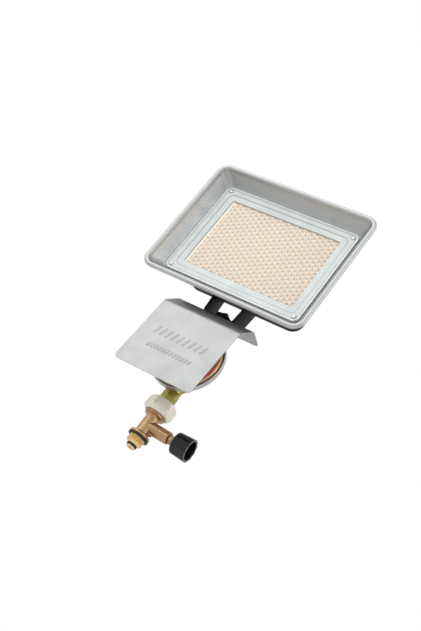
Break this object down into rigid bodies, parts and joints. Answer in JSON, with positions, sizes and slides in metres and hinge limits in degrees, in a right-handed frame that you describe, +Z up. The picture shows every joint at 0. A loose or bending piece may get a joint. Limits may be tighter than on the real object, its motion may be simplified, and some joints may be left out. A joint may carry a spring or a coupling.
{
  "type": "portable propane heater",
  "caption": "Infrared gas burner head with a reflector tray on a bracket, a heat shield, a low-pressure regulator and a screw-in cylinder valve with a hand knob.",
  "frame": {"origin": "on the valve's inlet thread axis, at the underside of its washer, where the valve seats on a gas cylinder", "axes": "+Z up along the gas axis, -Y the front that the ceramic faces, +X to the right seen from the front, the side of the valve's knob"},
  "size_m": [0.1846, 0.0675, 0.2969],
  "materials": {
    "brass": "satin",
    "gland_brass": "satin",
    "black_rubber": "matte",
    "black_plastic": "matte",
    "red_plastic": "gloss",
    "yellow_plastic": "matte",
    "zinc_steel": "satin",
    "yellow_zinc": "satin",
    "spring_steel": "satin",
    "bronze": "satin",
    "aluminium": "satin",
    "plated_sheet": "satin",
    "black_paint": "satin",
    "ceramic": "matte",
    "fibre": "matte"
  },
  "bodies": {
    "valve": {"valve_body": "brass", "inlet_washer": "black_rubber", "tip_o_ring": "black_rubber", "gland_packing": "black_rubber", "gland_nut": "gland_brass"},
    "seat": {"pad_holder": "brass", "seat_pad": "black_rubber"},
    "spindle_set": {"spindle": "gland_brass", "knob": "black_plastic", "knob_screw": "zinc_steel"},
    "nut": {"union_nut": "zinc_steel"},
    "head": {"union_seal": "black_rubber", "inlet_stem": "yellow_zinc", "inlet_filter": "spring_steel", "regulator_body": "yellow_zinc", "crimp_ring": "zinc_steel", "inlet_nozzle": "gland_brass", "regulator_cover": "yellow_zinc", "regulator_cap": "red_plastic", "adjusting_screw": "yellow_plastic", "regulator_spring": "spring_steel", "diaphragm": "black_rubber", "lever_pin": "spring_steel", "jet_holder": "bronze", "jet_washer": "aluminium", "injector": "gland_brass", "bracket": "black_paint", "heat_shield": "plated_sheet", "reflector_tray": "plated_sheet", "frame_plate": "plated_sheet", "frame_rivets": "aluminium", "ceramic_plaque": "ceramic", "plaque_gasket": "fibre", "distributor_plate": "plated_sheet", "burner_pan": "black_paint", "mixing_tube": "plated_sheet"},
    "diaphragm_set": {"diaphragm_plate": "zinc_steel", "spring_plate": "zinc_steel", "diaphragm_stem": "gland_brass"},
    "lever_set": {"lever": "yellow_zinc", "valve_pad": "black_rubber"}
  },
  "joints": [
    {"name": "head_swivel", "type": "hinge", "parent": "valve", "child": "head", "pos_m": [0, 0, 0.0332], "axis": [0, 0, 1], "continuous": true},
    {"name": "union_nut_turn", "type": "hinge", "parent": "head", "child": "nut", "pos_m": [0, 0, 0.0352], "axis": [0, 0, 1], "range_deg": [-360, 0]},
    {"name": "seat_lift", "type": "slide", "parent": "valve", "child": "seat", "axis": [0.9945, 0.1045, 0], "range_m": [0, 0.002]},
    {"name": "knob_turn", "type": "hinge", "parent": "seat", "child": "spindle_set", "pos_m": [0, 0, 0.0145], "axis": [0.9945, 0.1045, 0], "range_deg": [0, 720]},
    {"name": "diaphragm_travel", "type": "slide", "parent": "head", "child": "diaphragm_set", "axis": [0, -1, 0], "range_m": [0, 0.002], "stiffness_N_per_m": 1500, "springref_m": -0.004, "deforming": ["regulator_spring", "diaphragm"]},
    {"name": "lever_tilt", "type": "hinge", "parent": "head", "child": "lever_set", "pos_m": [0, 0.0032, 0.0685], "axis": [1, 0, 0], "range_deg": [0, 6.7]}
  ],
  "couplings": [
    {"joint": "seat_lift", "follows": "knob_turn", "m_per_rad": 0.00015914},
    {"joint": "lever_tilt", "follows": "diaphragm_travel", "rad_per_m": 57.803}
  ]
}
